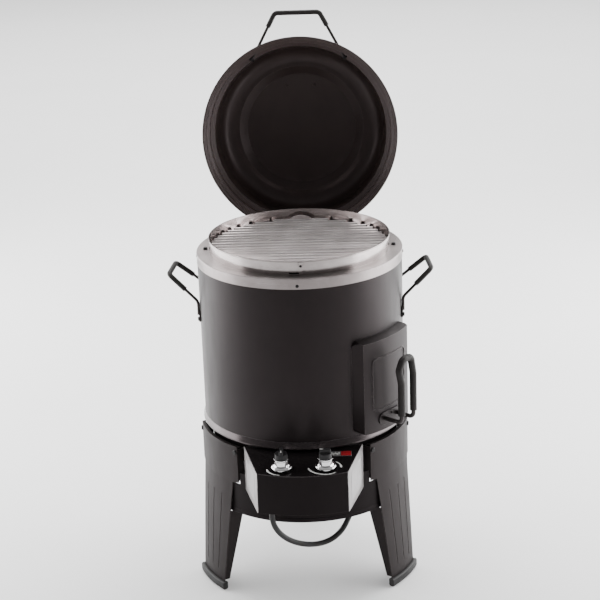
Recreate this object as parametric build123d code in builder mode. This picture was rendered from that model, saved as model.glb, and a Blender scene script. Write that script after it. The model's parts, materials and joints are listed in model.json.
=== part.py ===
"""Round gas smoker, roaster and grill on three legs, with its lid open.

Millimetres, +Z up. The origin is on the floor, on the axis of the drum, and -Y is the front.
An azimuth is counted in degrees from the front towards +X.
"""

from build123d import *
import os
from math import cos, degrees, pi, radians, sin, sqrt, tan

os.makedirs("parts", exist_ok=True)

# ---------------------------------------------------------------- driving dimensions
SHEET = 1.2              # thickness of the drum's sheet metal
RUN_FIT = 0.06           # radial clearance of a shaft that turns
GAP = 0.3                # clearance between pieces that move apart

SHELL_R = 222.0          # outside of the drum
SHELL_LOW = 376.0
RIM_Z = 740.0            # top face of the rim ring
BAND_H = 22.0            # the rim ring's outer band
BAND_SCREW_Z = RIM_Z - 15.0
PLUG_X = 204.0           # the two plugs in the rim ring, left and right
PLUG_HOLE_R = 4.5
COLLAR_R = 195.0
COLLAR_H = 30.0
SEAM_AZ = 2.2            # the collar's lapped seam, with its rivet
CHAMBER_R = 188.2
CHAMBER_LOW = 396.0

GRATE_R = 192.6
GRATE_PITCH = 19.2
GRATE_RIBS = 19
GRATE_LOW = RIM_Z + SHEET + GAP
GRATE_H = 10.5

BASE_R = 206.0           # burner housing under the drum
BASE_LOW = 292.0
BASE_TOP = 361.0
TRIM_R = 226.0
HOOP_R = 228.0           # lower hoop between the legs
HOOP_LOW = 192.0
HOOP_TOP = 262.0
HOOP_SHEET = 1.5
HOOP_TAB_TOP = 289.0     # the tabs beside the control box
HOOP_TAB_AZ = 31.5
HOOP_TAB_TURN = 6.2

LEG_AZIMUTHS = {"leg_left": -60.0, "leg_right": 60.0, "leg_rear": 180.0}
LEG_R = 231.0            # outside of a leg's upper plate
LEG_FOOT_R = 250.0       # outside of a leg at the floor
LEG_TOP = 350.0
LEG_SHEET = 2.0
LEG_HALF_TOP = 85.0
LEG_HALF_SHOULDER = 69.0
LEG_HALF_FOOT = 48.0
LEG_BOLT_Z = 336.0
LEG_BOLT_TURN = 20.2     # a leg's bolts, in degrees either side of its middle
FOOT_H = 19.0
FOOT_THICK = 13.0
FOOT_ROUND = 4.2
FOOT_SPREAD = 12.6       # degrees either side of a foot's middle
FOOT_SLOT_SPREAD = 11.9  # the slot that takes the leg's plate

BOX_LOW = 256.0          # control box
BOX_FRONT_Z = 346.5      # height of the fascia at the front corners
BOX_FRONT_Y = -306.0
BOX_NOSE_Y = -322.0
BOX_CORNER_X = 94.5
BOX_BACK_X = 125.6
BOX_BACK_Y = -191.9
FASCIA_TILT = 5.4
GAS_X = -43.0            # the two knobs, across the fascia
IGNITER_X = 48.5
KNOB_Y = -289.0
KNOB_LIFT = 5.0
VALVE_W = 26.0
IGNITER_W = 24.0

SMOKER_AZ = 51.0         # middle of the chip drawer's front
SMOKER_FACE_R = 244.0
SMOKER_LOW = 381.0
SMOKER_TOP = 591.0
SMOKER_HALF_BACK = 22.4  # degrees, where the front meets the drum
SMOKER_HALF_FACE = 18.2
CHIP_BOX_W = 92.0
CHIP_BOX_LOW = 402.0
CHIP_BOX_TOP = 532.0

LID_R = 227.0
LID_DEPTH = 184.0
LID_SHEET = 1.5
LID_GAP = 0.6            # the closed lid's edge above the rim ring
LID_OPEN = 97.3          # degrees between closed and open
HINGE_Y = 235.0
HINGE_Z = 684.0
PIN_R = 4.0

ROD_R = 3.25             # wire of the side and lid handles
GRIP_R = 5.5
TRAY_AZ = -120.0
TRAY_HALF = 108.0
TRAY_LOW = 267.0
TRAY_RIM = 285.5
TRAY_PULL_OUT = 220.0

HOSE_R = 6.0
INLET_X = -68.0          # the gas pipe down through the control box's floor
INLET_Y = -281.0
CRIMP_LOW = 251.0


# ---------------------------------------------------------------- helpers
def around(radius, azimuth, height):
    """The point at this radius, azimuth and height."""
    turn = radians(azimuth)
    return Vector(radius * sin(turn), -radius * cos(turn), height)


def outward(azimuth):
    """The unit vector away from the drum's axis."""
    return around(1, azimuth, 0)


def face_plane(azimuth, radius=0.0, height=0.0):
    """A plane facing outwards: x runs round the drum, y up, z away from the axis."""
    turn = radians(azimuth)
    return Plane(
        origin=around(radius, azimuth, height),
        x_dir=(cos(turn), sin(turn), 0),
        z_dir=(sin(turn), -cos(turn), 0),
    )


def section_plane(azimuth):
    """The half-plane through the axis at this azimuth: x is the radius and y the height."""
    turn = radians(azimuth)
    return Plane(
        origin=(0, 0, 0),
        x_dir=(sin(turn), -cos(turn), 0),
        z_dir=(-cos(turn), -sin(turn), 0),
    )


def on_face(azimuth, across, height, out):
    """A point given across, up and out from the axis, seen from this azimuth."""
    return face_plane(azimuth).from_local_coords(Vector(across, height, out))


def keep(builder, name):
    """Label a finished piece and write its STEP file."""
    builder.part.label = name
    export_step(builder.part, f"parts/{name}.step")


def sweep_circle(path, outer, inner=0.0):
    """Sweep a round section, or a tube's section, along a path in the open part builder."""
    with BuildSketch(Plane(origin=path @ 0, z_dir=path % 0)) as profile:
        Circle(outer)
        if inner:
            Circle(inner, mode=Mode.SUBTRACT)
    sweep(profile.sketch, path=path)


def fascia_z(y):
    """Height of the control fascia's top face at this y."""
    return BOX_FRONT_Z + (y - BOX_FRONT_Y) * tan(radians(FASCIA_TILT))


def knob_plane(x):
    """The plane on the fascia under a knob, with z along the knob's stem."""
    tilt = radians(FASCIA_TILT)
    return Plane(
        origin=(x, KNOB_Y, fascia_z(KNOB_Y)),
        x_dir=(1, 0, 0),
        z_dir=(0, -sin(tilt), cos(tilt)),
    )


# ---------------------------------------------------------------- drum
with BuildPart() as outer_shell:
    with BuildSketch(Plane.XZ):
        Polygon(
            (SHELL_R - SHEET, SHELL_LOW),
            (SHELL_R, SHELL_LOW),
            (SHELL_R, RIM_Z - 1.5),
            (SHELL_R - SHEET, RIM_Z - 1.5),
            align=None,
        )
    revolve(axis=Axis.Z)
    with BuildSketch(face_plane(SMOKER_AZ)):
        with Locations((0, (CHIP_BOX_LOW + CHIP_BOX_TOP) / 2)):
            Rectangle(CHIP_BOX_W + 3, CHIP_BOX_TOP - CHIP_BOX_LOW + 3)
    extrude(amount=SHELL_R + 20, mode=Mode.SUBTRACT)
keep(outer_shell, "outer_shell")

with BuildPart() as trim_ring:
    with BuildSketch(Plane.XZ):
        Polygon(
            (219.5, BASE_TOP),
            (TRIM_R, BASE_TOP),
            (TRIM_R, BASE_TOP + 2.5),
            (SHELL_R + 0.3, SHELL_LOW),
            (219.5, SHELL_LOW),
            align=None,
        )
    revolve(axis=Axis.Z)
keep(trim_ring, "trim_ring")

with BuildPart() as rim_ring:
    with BuildSketch(Plane.XZ):
        Polygon(
            (190.5, RIM_Z - 1.5),
            (SHELL_R + 0.05, RIM_Z - 1.5),
            (SHELL_R + 0.05, RIM_Z - BAND_H),
            (SHELL_R + 1, RIM_Z - BAND_H),
            (SHELL_R + 1, RIM_Z - 1),
            (SHELL_R, RIM_Z),
            (190.5, RIM_Z),
            align=None,
        )
    revolve(axis=Axis.Z)
    with Locations((PLUG_X, 0, RIM_Z), (-PLUG_X, 0, RIM_Z)):
        Cylinder(PLUG_HOLE_R, 6, mode=Mode.SUBTRACT)
keep(rim_ring, "rim_ring")

with BuildPart() as rim_screws:
    for azimuth in (0, 90, 180, 270):
        with BuildSketch(face_plane(azimuth, SHELL_R + 1, BAND_SCREW_Z)):
            Circle(3.6)
        extrude(amount=1.8, taper=25)
    with BuildSketch(face_plane(SEAM_AZ, COLLAR_R + 0.8, RIM_Z + 19)):
        Circle(3)
    extrude(amount=1.5, taper=30)
    for x in (PLUG_X, -PLUG_X):
        with BuildSketch(Plane.XY.offset(RIM_Z - 2.5)):
            with Locations((x, 0)):
                Circle(PLUG_HOLE_R - 0.1)
        extrude(amount=2.6)
        with BuildSketch(Plane.XY.offset(RIM_Z + 0.05)):
            with Locations((x, 0)):
                Circle(5.4)
        extrude(amount=4.2, taper=18)
keep(rim_screws, "rim_screws")

with BuildPart() as collar:
    with BuildSketch(Plane.XZ):
        Polygon(
            (COLLAR_R - SHEET, RIM_Z),
            (COLLAR_R, RIM_Z),
            (COLLAR_R, RIM_Z + COLLAR_H - 2.5),
            (COLLAR_R + 0.7, RIM_Z + COLLAR_H - 1.5),
            (COLLAR_R + 0.7, RIM_Z + COLLAR_H),
            (COLLAR_R - SHEET, RIM_Z + COLLAR_H),
            align=None,
        )
    revolve(axis=Axis.Z)
    with BuildSketch(face_plane(-1, 0, RIM_Z)):
        Rectangle(27, 11)
    extrude(amount=COLLAR_R + 5, mode=Mode.SUBTRACT)
    with BuildSketch(face_plane(SEAM_AZ, COLLAR_R - 0.4, RIM_Z + 13.8)):
        Rectangle(7, 27)
    extrude(amount=1.2)
keep(collar, "collar")

with BuildPart() as cooking_chamber:
    inner = CHAMBER_R - SHEET
    with BuildSketch(Plane.XZ):
        Polygon(
            (14, CHAMBER_LOW - 7.2),
            (CHAMBER_R, CHAMBER_LOW),
            (CHAMBER_R, RIM_Z),
            (CHAMBER_R + 5.4, RIM_Z),
            (CHAMBER_R + 5.4, RIM_Z + SHEET),
            (inner, RIM_Z + SHEET),
            (inner, CHAMBER_LOW + SHEET),
            (14, CHAMBER_LOW - 7.2 + SHEET),
            align=None,
        )
    revolve(axis=Axis.Z)
keep(cooking_chamber, "cooking_chamber")

# ---------------------------------------------------------------- cooking grate
with BuildPart() as cooking_grate:
    low = GRATE_LOW
    top = GRATE_LOW + GRATE_H
    half = GRATE_PITCH / 2
    for rib in range(GRATE_RIBS):
        middle = (rib - (GRATE_RIBS - 1) / 2) * GRATE_PITCH
        reach = sqrt(GRATE_R**2 - (abs(middle) + half) ** 2)
        with BuildSketch(Plane.YZ.offset(-reach)):
            with Locations((middle, 0)):
                Polygon(
                    (-half, low),
                    (-half, low + 1.5),
                    (-5.5, low + 1.5),
                    (-2.5, top),
                    (2.5, top),
                    (5.5, low + 1.5),
                    (half, low + 1.5),
                    (half, low),
                    (4.2, low),
                    (1.6, top - 1.5),
                    (-1.6, top - 1.5),
                    (-4.2, low),
                    align=None,
                )
        extrude(amount=2 * reach)
    for valley in range(GRATE_RIBS - 1):
        middle = (valley + 1) * GRATE_PITCH - GRATE_RIBS * half
        reach = sqrt(GRATE_R**2 - (abs(middle) + half) ** 2)
        slots = max(1, int(2 * (reach - 8) // 44))
        with BuildSketch(Plane.XY.offset(low)):
            with Locations((0, middle)):
                with GridLocations(44, 1, slots, 1):
                    SlotOverall(30, 5)
        extrude(amount=1.5, mode=Mode.SUBTRACT)
    with BuildSketch(Plane.XZ.offset(-(GRATE_RIBS - 1) * half - 5)):
        with Locations((0, top - 6)):
            Ellipse(26, 14)
        with Locations((0, top - 16)):
            Rectangle(60, 20, mode=Mode.SUBTRACT)
    extrude(amount=1.5)
keep(cooking_grate, "cooking_grate")

# ---------------------------------------------------------------- burner housing
LEG_BOLT_AZIMUTHS = [
    middle + side * LEG_BOLT_TURN for middle in LEG_AZIMUTHS.values() for side in (-1, 1)
]
BURNER_R = 120.0
BURNER_Z = 328.0
BURNER_TUBE_R = 9.0
SHIELD_Z = 304.0

with BuildPart() as burner_housing:
    with BuildSketch(Plane.XZ):
        Polygon(
            (45, BASE_LOW),
            (BASE_R, BASE_LOW),
            (BASE_R, BASE_TOP - 1.5),
            (SHELL_R, BASE_TOP - 1.5),
            (SHELL_R, BASE_TOP),
            (BASE_R - 1.5, BASE_TOP),
            (BASE_R - 1.5, BASE_LOW + 1.5),
            (45, BASE_LOW + 1.5),
            align=None,
        )
    revolve(axis=Axis.Z)
    with BuildSketch(Plane.XY.offset(BASE_LOW)):
        with PolarLocations(165, 12, start_angle=15):
            SlotOverall(46, 9, rotation=90)
    extrude(amount=3, mode=Mode.SUBTRACT)
    with BuildSketch(Plane.XZ):
        with Locations((GAS_X, BURNER_Z)):
            Circle(BURNER_TUBE_R + 2)
    extrude(amount=BASE_R + 20, mode=Mode.SUBTRACT)
    for azimuth in LEG_BOLT_AZIMUTHS:
        with BuildSketch(face_plane(azimuth, BASE_R - 12, LEG_BOLT_Z)):
            Circle(3.1)
        extrude(amount=20, mode=Mode.SUBTRACT)
keep(burner_housing, "burner_housing")

with BuildPart() as burner:
    with BuildSketch(Plane.XZ):
        with Locations((BURNER_R, BURNER_Z)):
            Rectangle(24, 2 * BURNER_TUBE_R)
    revolve(axis=Axis.Z)
    with BuildSketch(Plane.XZ.offset(BURNER_R - 8)):
        with Locations((GAS_X, BURNER_Z)):
            Circle(BURNER_TUBE_R - 1.5)
    extrude(amount=128)
    with BuildSketch(Plane.XZ.offset(BURNER_R + 20)):
        with Locations((GAS_X, BURNER_Z)):
            Circle(BURNER_TUBE_R - 3)
    extrude(amount=140, mode=Mode.SUBTRACT)
    with BuildSketch(Plane.XY.offset(BURNER_Z + BURNER_TUBE_R - 6)):
        with PolarLocations(BURNER_R, 36):
            Circle(1.4)
    extrude(amount=20, mode=Mode.SUBTRACT)
keep(burner, "burner")

POST_AZIMUTHS = (60, 180, 300)
with BuildPart() as burner_posts:
    for azimuth in POST_AZIMUTHS:
        foot = around(BURNER_R, azimuth, BASE_LOW + 1.5)
        with Locations(foot):
            Cylinder(8, SHIELD_Z - BASE_LOW - 1.5, align=(Align.CENTER, Align.CENTER, Align.MIN))
            Cylinder(
                4,
                BURNER_Z - BURNER_TUBE_R - BASE_LOW - 1.6,
                align=(Align.CENTER, Align.CENTER, Align.MIN),
            )
keep(burner_posts, "burner_posts")

with BuildPart() as heat_shield:
    with BuildSketch(Plane.XY.offset(SHIELD_Z)):
        Circle(190)
        Circle(40, mode=Mode.SUBTRACT)
        for azimuth in POST_AZIMUTHS:
            spot = around(BURNER_R, azimuth, 0)
            with Locations((spot.X, spot.Y)):
                Circle(4.3, mode=Mode.SUBTRACT)
    extrude(amount=SHEET)
keep(heat_shield, "heat_shield")

with BuildPart() as lower_hoop:
    with BuildSketch(Plane.XZ):
        Polygon(
            (HOOP_R - HOOP_SHEET, HOOP_LOW),
            (HOOP_R + 1, HOOP_LOW),
            (HOOP_R + 1, HOOP_LOW + 8),
            (HOOP_R, HOOP_LOW + 9.5),
            (HOOP_R, HOOP_TAB_TOP),
            (HOOP_R - HOOP_SHEET, HOOP_TAB_TOP),
            align=None,
        )
    revolve(axis=Axis.Z)
    tab_end = HOOP_TAB_AZ + HOOP_TAB_TURN
    for start, turn in ((-HOOP_TAB_AZ, 2 * HOOP_TAB_AZ), (tab_end, 360 - 2 * tab_end)):
        with BuildSketch(section_plane(start)):
            with Locations((HOOP_R, HOOP_TOP + 20)):
                Rectangle(12, 40)
        revolve(axis=Axis.Z, revolution_arc=turn, mode=Mode.SUBTRACT)
keep(lower_hoop, "lower_hoop")


# ---------------------------------------------------------------- legs and feet
LEG_BEND = 262.0         # below this height the leg leans outwards
LEG_SPLAY = (LEG_FOOT_R - LEG_R) / LEG_BEND
LEG_SPREAD = 23.0        # degrees either side of a leg's middle, wider than its plate
LEG_LOW = 4.0
FLANGE_TOP = HOOP_LOW - 0.5
FLANGE_LOW = FOOT_H + 2
FLANGE_INSET = 0.3       # the flange's face, inside the plate's cut edge


def leg_radius(height):
    """Outside radius of the leg's plate at this height."""
    return LEG_R + max(0.0, LEG_BEND - height) * LEG_SPLAY


def leg_half_width(height):
    """Half the leg's width under its shoulder."""
    return LEG_HALF_FOOT + (LEG_HALF_SHOULDER - LEG_HALF_FOOT) * height / 264


def leg_layer(azimuth, outside, inside):
    """One layer of the leg's plate, as a sector turned about the drum's axis."""
    with BuildSketch(section_plane(azimuth - LEG_SPREAD)) as profile:
        Polygon(
            (LEG_R - inside, LEG_TOP),
            (LEG_R - outside, LEG_TOP),
            (LEG_R - outside, LEG_BEND),
            (leg_radius(LEG_LOW) - outside, LEG_LOW),
            (leg_radius(LEG_LOW) - inside, LEG_LOW),
            (LEG_R - inside, LEG_BEND),
            align=None,
        )
    revolve(profile.sketch, axis=Axis.Z, revolution_arc=2 * LEG_SPREAD)


def leg_edge(azimuth, side, height):
    """A point on the leg's outer surface, just inside its side edge, under its shoulder."""
    across = leg_half_width(height) - FLANGE_INSET
    return on_face(azimuth, side * across, height, sqrt(leg_radius(height) ** 2 - across**2))


def leg_flange(azimuth, side):
    """The turned-in side of the leg, deep at the hoop and narrow at the foot."""
    low = leg_edge(azimuth, side, FLANGE_LOW)
    high = leg_edge(azimuth, side, FLANGE_TOP)
    inward = outward(azimuth) * -1
    plane = Plane(origin=low, x_dir=inward, z_dir=inward.cross(high - low))
    end = plane.to_local_coords(high)
    with BuildSketch(plane) as profile:
        Polygon((1, 0), (13.5, 0), (end.X + 34, end.Y), (end.X + 1, end.Y), align=None)
    extrude(profile.sketch, amount=-side * LEG_SHEET)


def make_leg(azimuth):
    with BuildPart() as leg:
        leg_layer(azimuth, 0, 0.9)
        with BuildSketch(face_plane(azimuth)):
            for side in (-1, 0, 1):
                Polygon(
                    (side * 34 - 1.6, 226),
                    (side * 34 + 1.6, 226),
                    (side * 26 + 1.6, 42),
                    (side * 26 - 1.6, 42),
                    align=None,
                )
        extrude(amount=LEG_FOOT_R + 20, mode=Mode.SUBTRACT)
        leg_layer(azimuth, 0.9, LEG_SHEET)
        with BuildSketch(section_plane(azimuth - LEG_SPREAD)):
            Polygon(
                (LEG_R - 8, LEG_TOP - LEG_SHEET),
                (LEG_R - 1, LEG_TOP - LEG_SHEET),
                (LEG_R - 1, LEG_TOP),
                (LEG_R - 8, LEG_TOP),
                align=None,
            )
        revolve(axis=Axis.Z, revolution_arc=2 * LEG_SPREAD)
        with BuildSketch(face_plane(azimuth)) as outline:
            Polygon(
                (-LEG_HALF_TOP, LEG_TOP),
                (LEG_HALF_TOP, LEG_TOP),
                (LEG_HALF_TOP, 266),
                (LEG_HALF_SHOULDER, 264),
                (LEG_HALF_FOOT, 0),
                (-LEG_HALF_FOOT, 0),
                (-LEG_HALF_SHOULDER, 264),
                (-LEG_HALF_TOP, 266),
                align=None,
            )
            fillet(outline.vertices().group_by(Axis.Z)[1:], 4)
        extrude(amount=LEG_FOOT_R + 20, mode=Mode.INTERSECT)
        edge_out = sqrt(LEG_R**2 - LEG_HALF_TOP**2)
        for side in (-1, 1):
            leg_flange(azimuth, side)
            with BuildSketch(face_plane(azimuth, edge_out - 25.8)):
                with Locations((side * (LEG_HALF_TOP - LEG_SHEET / 2), (270 + 344) / 2)):
                    Rectangle(LEG_SHEET, 74)
            extrude(amount=25.2)
            with BuildSketch(face_plane(azimuth + side * LEG_BOLT_TURN, LEG_R - 8, LEG_BOLT_Z)):
                Circle(3.1)
            extrude(amount=12, mode=Mode.SUBTRACT)
    return leg


def make_foot(azimuth):
    with BuildPart() as foot:
        with BuildSketch(section_plane(azimuth - FOOT_SPREAD)) as bar:
            with Locations((LEG_FOOT_R - 0.5, FOOT_H / 2)):
                Rectangle(FOOT_THICK, FOOT_H)
            fillet(bar.vertices(), FOOT_ROUND)
        revolve(axis=Axis.Z, revolution_arc=2 * FOOT_SPREAD)
        with BuildSketch(section_plane(azimuth - FOOT_SLOT_SPREAD)):
            Polygon(
                (leg_radius(LEG_LOW) - LEG_SHEET - 0.2, LEG_LOW - 0.2),
                (leg_radius(LEG_LOW) + 0.2, LEG_LOW - 0.2),
                (leg_radius(FOOT_H + 1) + 0.2, FOOT_H + 1),
                (leg_radius(FOOT_H + 1) - LEG_SHEET - 0.2, FOOT_H + 1),
                align=None,
            )
        revolve(axis=Axis.Z, revolution_arc=2 * FOOT_SLOT_SPREAD, mode=Mode.SUBTRACT)
    return foot


for name, azimuth in LEG_AZIMUTHS.items():
    keep(make_leg(azimuth), name)
    keep(make_foot(azimuth), name.replace("leg", "foot"))

# ---------------------------------------------------------------- grease tray
RAIL_X = TRAY_HALF + 9


def across_box(azimuth, x_low, x_high, z_low, z_high, out_low, out_high):
    """A straight bar seen from this azimuth, given across, up and outwards."""
    with BuildSketch(face_plane(azimuth, out_low)) as profile:
        with Locations(((x_low + x_high) / 2, (z_low + z_high) / 2)):
            Rectangle(x_high - x_low, z_high - z_low)
    extrude(profile.sketch, amount=out_high - out_low)


with BuildPart() as tray_rails:
    for side in (-1, 1):
        with BuildSketch(face_plane(TRAY_AZ, -112)):
            Polygon(
                (side * (TRAY_HALF + 1), TRAY_RIM - 2),
                (side * RAIL_X, TRAY_RIM - 2),
                (side * RAIL_X, BASE_LOW - 1.5),
                (side * (RAIL_X + 10), BASE_LOW - 1.5),
                (side * (RAIL_X + 10), BASE_LOW),
                (side * (RAIL_X - 1.5), BASE_LOW),
                (side * (RAIL_X - 1.5), TRAY_RIM - 0.5),
                (side * (TRAY_HALF + 1), TRAY_RIM - 0.5),
                align=None,
            )
        extrude(amount=224)
keep(tray_rails, "tray_rails")

with BuildPart() as grease_tray:
    with BuildSketch(Plane(origin=(0, 0, TRAY_LOW), x_dir=face_plane(TRAY_AZ).x_dir, z_dir=(0, 0, 1))):
        RectangleRounded(2 * TRAY_HALF, 2 * TRAY_HALF, 16)
    extrude(amount=TRAY_RIM + SHEET - TRAY_LOW)
    with BuildSketch(Plane(origin=(0, 0, TRAY_RIM), x_dir=face_plane(TRAY_AZ).x_dir, z_dir=(0, 0, 1))):
        RectangleRounded(2 * TRAY_HALF + 12, 2 * TRAY_HALF + 8, 20)
    extrude(amount=SHEET)
    with BuildSketch(
        Plane(origin=(0, 0, TRAY_LOW + SHEET), x_dir=face_plane(TRAY_AZ).x_dir, z_dir=(0, 0, 1))
    ):
        RectangleRounded(2 * (TRAY_HALF - SHEET), 2 * (TRAY_HALF - SHEET), 15)
    extrude(amount=30, mode=Mode.SUBTRACT)
    across_box(TRAY_AZ, -20, 20, TRAY_RIM, TRAY_RIM + SHEET, TRAY_HALF + 3, TRAY_PULL_OUT)
    across_box(TRAY_AZ, -20, 20, TRAY_LOW + 1, TRAY_RIM + SHEET, TRAY_PULL_OUT - SHEET, TRAY_PULL_OUT)
keep(grease_tray, "grease_tray")


# ---------------------------------------------------------------- control box
def box_nose(inset=0.0):
    """The box's bowed front line, from its left corner to its right corner."""
    return ThreePointArc(
        (-BOX_CORNER_X + inset * 0.3, BOX_FRONT_Y + inset),
        (0, BOX_NOSE_Y + inset),
        (BOX_CORNER_X - inset * 0.3, BOX_FRONT_Y + inset),
    )


def cut_above_fascia(lower_by=0.0):
    """Cut away everything above the fascia's slanted top face."""
    with BuildSketch(Plane.YZ.offset(-200)) as profile:
        Polygon(
            (-400, fascia_z(-400) - lower_by),
            (-100, fascia_z(-100) - lower_by),
            (-100, 420),
            (-400, 420),
            align=None,
        )
    extrude(profile.sketch, amount=400, mode=Mode.SUBTRACT)


with BuildPart() as control_box:
    with BuildSketch(Plane.XY.offset(BOX_LOW)):
        with BuildLine():
            front = box_nose()
            Line(front @ 1, (BOX_BACK_X, BOX_BACK_Y))
            back_x = BOX_BACK_X
            ThreePointArc(
                (back_x, BOX_BACK_Y),
                (0, -sqrt(back_x**2 + BOX_BACK_Y**2)),
                (-back_x, BOX_BACK_Y),
            )
            Line((-BOX_BACK_X, BOX_BACK_Y), front @ 0)
        make_face()
        with Locations((INLET_X, INLET_Y)):
            Circle(9, mode=Mode.SUBTRACT)
    extrude(amount=1.5)
    with BuildSketch(Plane.XY.offset(BOX_LOW)):
        with BuildLine():
            outer_line = box_nose()
            inner_line = box_nose(1.5)
            Line(outer_line @ 0, inner_line @ 0)
            Line(outer_line @ 1, inner_line @ 1)
        make_face()
    extrude(amount=110)
    cut_above_fascia(1.6)
keep(control_box, "control_box")


def box_side_frame(side):
    """A box side's front and back corners, and its outward direction."""
    corner = Vector(side * (BOX_CORNER_X + 0.2), BOX_FRONT_Y)
    back = Vector(side * (BOX_BACK_X + 0.2), BOX_BACK_Y)
    along = (back - corner).normalized()
    return corner, back, Vector(side * abs(along.Y), -abs(along.X))


def make_box_side(side):
    """One splayed side wall of the control box."""
    corner, back, out = box_side_frame(side)
    with BuildPart() as wall:
        with BuildSketch(Plane.XY.offset(BOX_LOW)):
            Polygon(
                (corner.X, corner.Y),
                (back.X, back.Y),
                (back.X + out.X * SHEET, back.Y + out.Y * SHEET),
                (corner.X + out.X * SHEET, corner.Y + out.Y * SHEET),
                align=None,
            )
        extrude(amount=110)
        cut_above_fascia(0)
    return wall


for side, word in ((-1, "left"), (1, "right")):
    keep(make_box_side(side), f"box_side_{word}")

with BuildPart() as fascia:
    with BuildSketch(Plane.XY.offset(320)):
        with BuildLine():
            front = box_nose()
            Line(front @ 1, (BOX_BACK_X - 0.6, BOX_BACK_Y - 1))
            ThreePointArc(
                (BOX_BACK_X - 0.6, BOX_BACK_Y - 1),
                (0, -208),
                (-BOX_BACK_X + 0.6, BOX_BACK_Y - 1),
            )
            Line((-BOX_BACK_X + 0.6, BOX_BACK_Y - 1), front @ 0)
        make_face()
    extrude(amount=60)
    cut_above_fascia(0)
    with BuildSketch(Plane.YZ.offset(-200)):
        Polygon(
            (-400, fascia_z(-400) - 1.5),
            (-100, fascia_z(-100) - 1.5),
            (-100, 280),
            (-400, 280),
            align=None,
        )
    extrude(amount=400, mode=Mode.SUBTRACT)
    for x in (GAS_X, IGNITER_X):
        with BuildSketch(knob_plane(x)):
            Circle(6)
        extrude(amount=10, both=True, mode=Mode.SUBTRACT)
    for x, half in ((GAS_X, VALVE_W / 2), (IGNITER_X, IGNITER_W / 2)):
        for side in (-1, 1):
            with BuildSketch(knob_plane(x).offset(-32)):
                with Locations((side * (half + 1.05), -8)):
                    Rectangle(2, 8)
            extrude(amount=31)
keep(fascia, "fascia")

with BuildPart() as label_plates:
    for side in (-1, 1):
        corner, back, out = box_side_frame(side)
        middle = (corner + back) / 2 + out * (SHEET + 0.05)
        plane = Plane(
            origin=(middle.X, middle.Y, (BOX_LOW + BOX_FRONT_Z) / 2 + 3),
            x_dir=back - corner,
            z_dir=out,
        )
        with BuildSketch(plane):
            RectangleRounded(78, 66, 3)
        extrude(amount=0.4)
    fascia_tilt = radians(FASCIA_TILT)
    badge_plane = Plane(
        origin=(80, -232, fascia_z(-232) + 0.05),
        x_dir=(1, 0, 0),
        z_dir=(0, -sin(fascia_tilt), cos(fascia_tilt)),
    )
    with BuildSketch(badge_plane):
        RectangleRounded(46, 20, 2)
    extrude(amount=0.5)
keep(label_plates, "label_plates")

# ---------------------------------------------------------------- knobs and what they turn
STEM_R = 4.0
KNOB_SKIRT_H = 21.0


def make_knob(x, ridge_turn):
    """A bright flared skirt with a dark ridged cap."""
    base = knob_plane(x)
    side_view = Plane(origin=base.origin, x_dir=base.x_dir, z_dir=base.y_dir * -1)
    axis = Axis(base.origin, base.z_dir)
    with BuildPart() as skirt:
        with BuildSketch(side_view):
            Polygon(
                (STEM_R, KNOB_LIFT + 5),
                (12, KNOB_LIFT + 5),
                (18, KNOB_LIFT),
                (21.5, KNOB_LIFT),
                (21.5, KNOB_LIFT + 1.6),
                (20.5, KNOB_LIFT + 2.8),
                (17, KNOB_LIFT + 5),
                (15.2, KNOB_LIFT + 8),
                (14.6, KNOB_LIFT + 16.5),
                (16, KNOB_LIFT + 19),
                (16, KNOB_LIFT + KNOB_SKIRT_H),
                (STEM_R, KNOB_LIFT + KNOB_SKIRT_H),
                align=None,
            )
        revolve(axis=axis)
    with BuildPart() as cap:
        with BuildSketch(base.offset(KNOB_LIFT + KNOB_SKIRT_H)):
            Circle(13.8)
        extrude(amount=11, taper=5)
        with BuildSketch(base.offset(KNOB_LIFT + KNOB_SKIRT_H + 10)):
            RectangleRounded(9, 24, 3, rotation=ridge_turn)
        extrude(amount=9, taper=4)
        with BuildSketch(base.offset(KNOB_LIFT + KNOB_SKIRT_H - 1)):
            Circle(STEM_R)
        extrude(amount=9, mode=Mode.SUBTRACT)
    return skirt, cap


def make_stem(x):
    with BuildPart() as stem:
        with BuildSketch(knob_plane(x).offset(-20)):
            Circle(STEM_R)
        extrude(amount=20 + KNOB_LIFT + 28.5)
    return stem


def make_valve_body(x, width):
    """The block under the fascia that a stem turns in."""
    plane = knob_plane(x)
    with BuildPart() as block:
        with BuildSketch(plane.offset(-40)):
            Rectangle(width, 26)
        extrude(amount=32)
        with BuildSketch(plane.offset(-26)):
            Circle(STEM_R + RUN_FIT)
        extrude(amount=20, mode=Mode.SUBTRACT)
        fillet(block.edges().filter_by(Axis(plane.origin, plane.z_dir)).group_by(SortBy.LENGTH)[-1], 3)
    return block


for x, word, ridge_turn in ((GAS_X, "gas", 0), (IGNITER_X, "igniter", 90)):
    skirt, cap = make_knob(x, ridge_turn)
    keep(skirt, f"{word}_knob_skirt")
    keep(cap, f"{word}_knob_cap")
    keep(make_stem(x), f"{word}_stem")

with BuildPart() as gas_valve:
    add(make_valve_body(GAS_X, VALVE_W).part)
    with BuildSketch(Plane.XZ.offset(240.2)):
        with Locations((GAS_X, BURNER_Z)):
            Circle(4)
    extrude(amount=36)
keep(gas_valve, "gas_valve")
keep(make_valve_body(IGNITER_X, IGNITER_W), "igniter")

with BuildPart() as valve_collar:
    with BuildSketch(knob_plane(GAS_X).offset(-3.6)):
        Circle(7)
        Circle(STEM_R + RUN_FIT, mode=Mode.SUBTRACT)
    extrude(amount=1.6)
keep(valve_collar, "valve_collar")

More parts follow.
